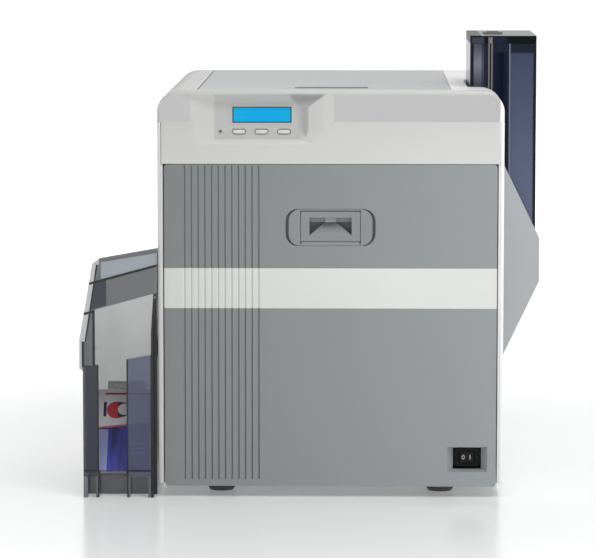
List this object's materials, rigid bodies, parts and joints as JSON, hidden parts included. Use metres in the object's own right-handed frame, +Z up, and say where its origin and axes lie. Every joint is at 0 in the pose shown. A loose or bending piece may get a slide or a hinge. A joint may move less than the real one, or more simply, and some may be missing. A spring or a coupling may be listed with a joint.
{
  "type": "id card printer",
  "caption": "Desktop retransfer card printer with a drop-down front door, hinged lid, dark card hopper on the right and a smoke-clear card stacker on the left.",
  "frame": {"origin": "centre of the overall box at table height", "axes": "+Z up, the door faces -Y, +X towards the hopper"},
  "size_m": [0.4124, 0.36, 0.413],
  "materials": {
    "white_case": "fine satin texture",
    "gray_door": "satin, metallic gray paint",
    "white_band": "satin",
    "gray_lid": "fine matt texture",
    "gray_housing": "satin",
    "dark_plastic": "matt",
    "black_gloss": "gloss",
    "smoke_blue": "clear, dark blue tint",
    "smoke_gray": "clear, smoke tint",
    "screen_blue": "lit display",
    "steel": "bare sheet",
    "aluminium": "cast",
    "rubber": "matt",
    "white_pvc": "gloss",
    "print": "printed card",
    "circuit": "solder mask",
    "film": "thin clear film",
    "ribbon": "dye ribbon",
    "spool_plastic": "moulded"
  },
  "bodies": {
    "root": {"base_pan": "steel", "rubber_feet": "rubber", "left_side_cover": "white_case", "right_side_cover": "white_case", "rear_cover": "white_case", "front_bezel": "white_case", "inner_front_frame": "gray_door", "door_hinge_brackets": "steel", "door_hinge_pins": "steel", "latch_strike": "steel", "display_window": "screen_blue", "display_module": "circuit", "panel_board": "circuit", "status_light": "screen_blue", "switch_body": "black_gloss", "lid_hinge_brackets": "steel", "lid_hinge_pins": "steel", "gusset_housing": "gray_housing", "hopper_bay": "dark_plastic", "pick_tray": "dark_plastic", "blank_cards": "white_pvc", "mechanism_plate": "steel", "roller_plate": "steel", "cross_bars": "steel", "drive_belt": "rubber", "feed_motor": "steel", "film_cassette_frame": "gray_housing", "film_web": "film", "ribbon_cassette_frame": "gray_housing", "print_head": "aluminium", "main_board": "circuit", "power_supply": "steel", "fan_frame": "dark_plastic"},
    "door": {"front_door": "gray_door", "door_band": "white_band", "latch_surround": "gray_door"},
    "latch": {"door_latch": "gray_door"},
    "lid": {"top_cover": "gray_lid"},
    "button_left": {"button_left": "white_case"},
    "button_middle": {"button_middle": "white_case"},
    "button_right": {"button_right": "white_case"},
    "rocker": {"switch_rocker": "black_gloss"},
    "hopper": {"hopper_body": "smoke_blue"},
    "cap": {"hopper_cap": "dark_plastic"},
    "weight": {"card_weight": "dark_plastic"},
    "stacker": {"stacker_body": "smoke_gray", "printed_card": "print"},
    "film_supply": {"film_supply_spool": "film"},
    "film_takeup": {"film_takeup_spool": "film"},
    "ribbon_supply": {"ribbon_supply_spool": "ribbon"},
    "ribbon_takeup": {"ribbon_takeup_spool": "ribbon"},
    "platen": {"platen_roller": "rubber"},
    "heat": {"heat_roller": "aluminium"},
    "backing": {"backing_roller": "rubber"},
    "drive_right": {"driven_roller_right": "rubber"},
    "drive_left": {"driven_roller_left": "rubber"},
    "pinch_right": {"pinch_roller_right": "steel"},
    "pinch_left": {"pinch_roller_left": "steel"},
    "pick": {"pick_roller": "rubber"},
    "fan": {"fan_rotor": "dark_plastic"}
  },
  "joints": [
    {"name": "door_hinge", "type": "hinge", "parent": "root", "child": "door", "pos_m": [0.0178, -0.164, 0.016], "axis": [1, 0, 0], "range_deg": [0, 90]},
    {"name": "latch_pull", "type": "hinge", "parent": "door", "child": "latch", "pos_m": [0.0178, -0.167, 0.234], "axis": [1, 0, 0], "range_deg": [0, 12], "stiffness_Nm_per_rad": 0.15},
    {"name": "lid_hinge", "type": "hinge", "parent": "root", "child": "lid", "pos_m": [0.0178, 0.167, 0.358], "axis": [-1, 0, 0], "range_deg": [0, 90]},
    {"name": "button_left_press", "type": "slide", "parent": "root", "child": "button_left", "axis": [0, 1, 0], "range_m": [0, 0.0006], "stiffness_N_per_m": 600},
    {"name": "button_middle_press", "type": "slide", "parent": "root", "child": "button_middle", "axis": [0, 1, 0], "range_m": [0, 0.0006], "stiffness_N_per_m": 600},
    {"name": "button_right_press", "type": "slide", "parent": "root", "child": "button_right", "axis": [0, 1, 0], "range_m": [0, 0.0006], "stiffness_N_per_m": 600},
    {"name": "power_rocker", "type": "hinge", "parent": "root", "child": "rocker", "pos_m": [0.1403, -0.156, 0.0345], "axis": [0, 0, 1], "range_deg": [0, 8]},
    {"name": "hopper_lift", "type": "slide", "parent": "root", "child": "hopper", "axis": [0, 0, 1], "range_m": [0, 0.25]},
    {"name": "cap_hinge", "type": "hinge", "parent": "hopper", "child": "cap", "pos_m": [0.0178, 0.0113, 0.404], "axis": [-1, 0, 0], "range_deg": [0, 100]},
    {"name": "weight_slide", "type": "slide", "parent": "hopper", "child": "weight", "axis": [0, 0, 1], "range_m": [0, 0.12]},
    {"name": "stacker_lift", "type": "slide", "parent": "root", "child": "stacker", "axis": [0, 0, 1], "range_m": [0, 0.15]},
    {"name": "film_supply_turn", "type": "hinge", "parent": "root", "child": "film_supply", "pos_m": [-0.0942, -0.067, 0.322], "axis": [0, 1, 0], "continuous": true},
    {"name": "film_takeup_turn", "type": "hinge", "parent": "root", "child": "film_takeup", "pos_m": [-0.1002, -0.067, 0.262], "axis": [0, 1, 0], "continuous": true},
    {"name": "ribbon_supply_turn", "type": "hinge", "parent": "root", "child": "ribbon_supply", "pos_m": [0.0798, -0.067, 0.318], "axis": [0, 1, 0], "continuous": true},
    {"name": "ribbon_takeup_turn", "type": "hinge", "parent": "root", "child": "ribbon_takeup", "pos_m": [0.0798, -0.067, 0.262], "axis": [0, 1, 0], "continuous": true},
    {"name": "platen_turn", "type": "hinge", "parent": "root", "child": "platen", "pos_m": [0.0178, -0.067, 0.29], "axis": [0, 1, 0], "continuous": true},
    {"name": "heat_turn", "type": "hinge", "parent": "root", "child": "heat", "pos_m": [-0.0572, -0.067, 0.217], "axis": [0, 1, 0], "continuous": true},
    {"name": "backing_turn", "type": "hinge", "parent": "root", "child": "backing", "pos_m": [-0.0572, -0.067, 0.1901], "axis": [0, 1, 0], "continuous": true},
    {"name": "drive_right_turn", "type": "hinge", "parent": "root", "child": "drive_right", "pos_m": [0.1188, -0.067, 0.1916], "axis": [0, 1, 0], "continuous": true},
    {"name": "drive_left_turn", "type": "hinge", "parent": "root", "child": "drive_left", "pos_m": [-0.1102, -0.067, 0.1916], "axis": [0, 1, 0], "continuous": true},
    {"name": "pinch_right_turn", "type": "hinge", "parent": "root", "child": "pinch_right", "pos_m": [0.1188, -0.067, 0.2084], "axis": [0, 1, 0], "continuous": true},
    {"name": "pinch_left_turn", "type": "hinge", "parent": "root", "child": "pinch_left", "pos_m": [-0.1102, -0.067, 0.2084], "axis": [0, 1, 0], "continuous": true},
    {"name": "pick_turn", "type": "hinge", "parent": "root", "child": "pick", "pos_m": [0.1628, -0.067, 0.19032], "axis": [0, 1, 0], "continuous": true},
    {"name": "fan_turn", "type": "hinge", "parent": "root", "child": "fan", "pos_m": [-0.0722, 0.1685, 0.285], "axis": [0, 1, 0], "continuous": true}
  ],
  "couplings": [
    {"joint": "film_takeup_turn", "follows": "film_supply_turn", "ratio": 1.5},
    {"joint": "platen_turn", "follows": "film_supply_turn", "ratio": 1.8},
    {"joint": "heat_turn", "follows": "film_supply_turn", "ratio": 1.125},
    {"joint": "backing_turn", "follows": "film_supply_turn", "ratio": -2},
    {"joint": "ribbon_takeup_turn", "follows": "ribbon_supply_turn", "ratio": 1.25},
    {"joint": "drive_left_turn", "follows": "drive_right_turn", "ratio": 1},
    {"joint": "pinch_right_turn", "follows": "drive_right_turn", "ratio": -1},
    {"joint": "pinch_left_turn", "follows": "drive_right_turn", "ratio": -1}
  ]
}
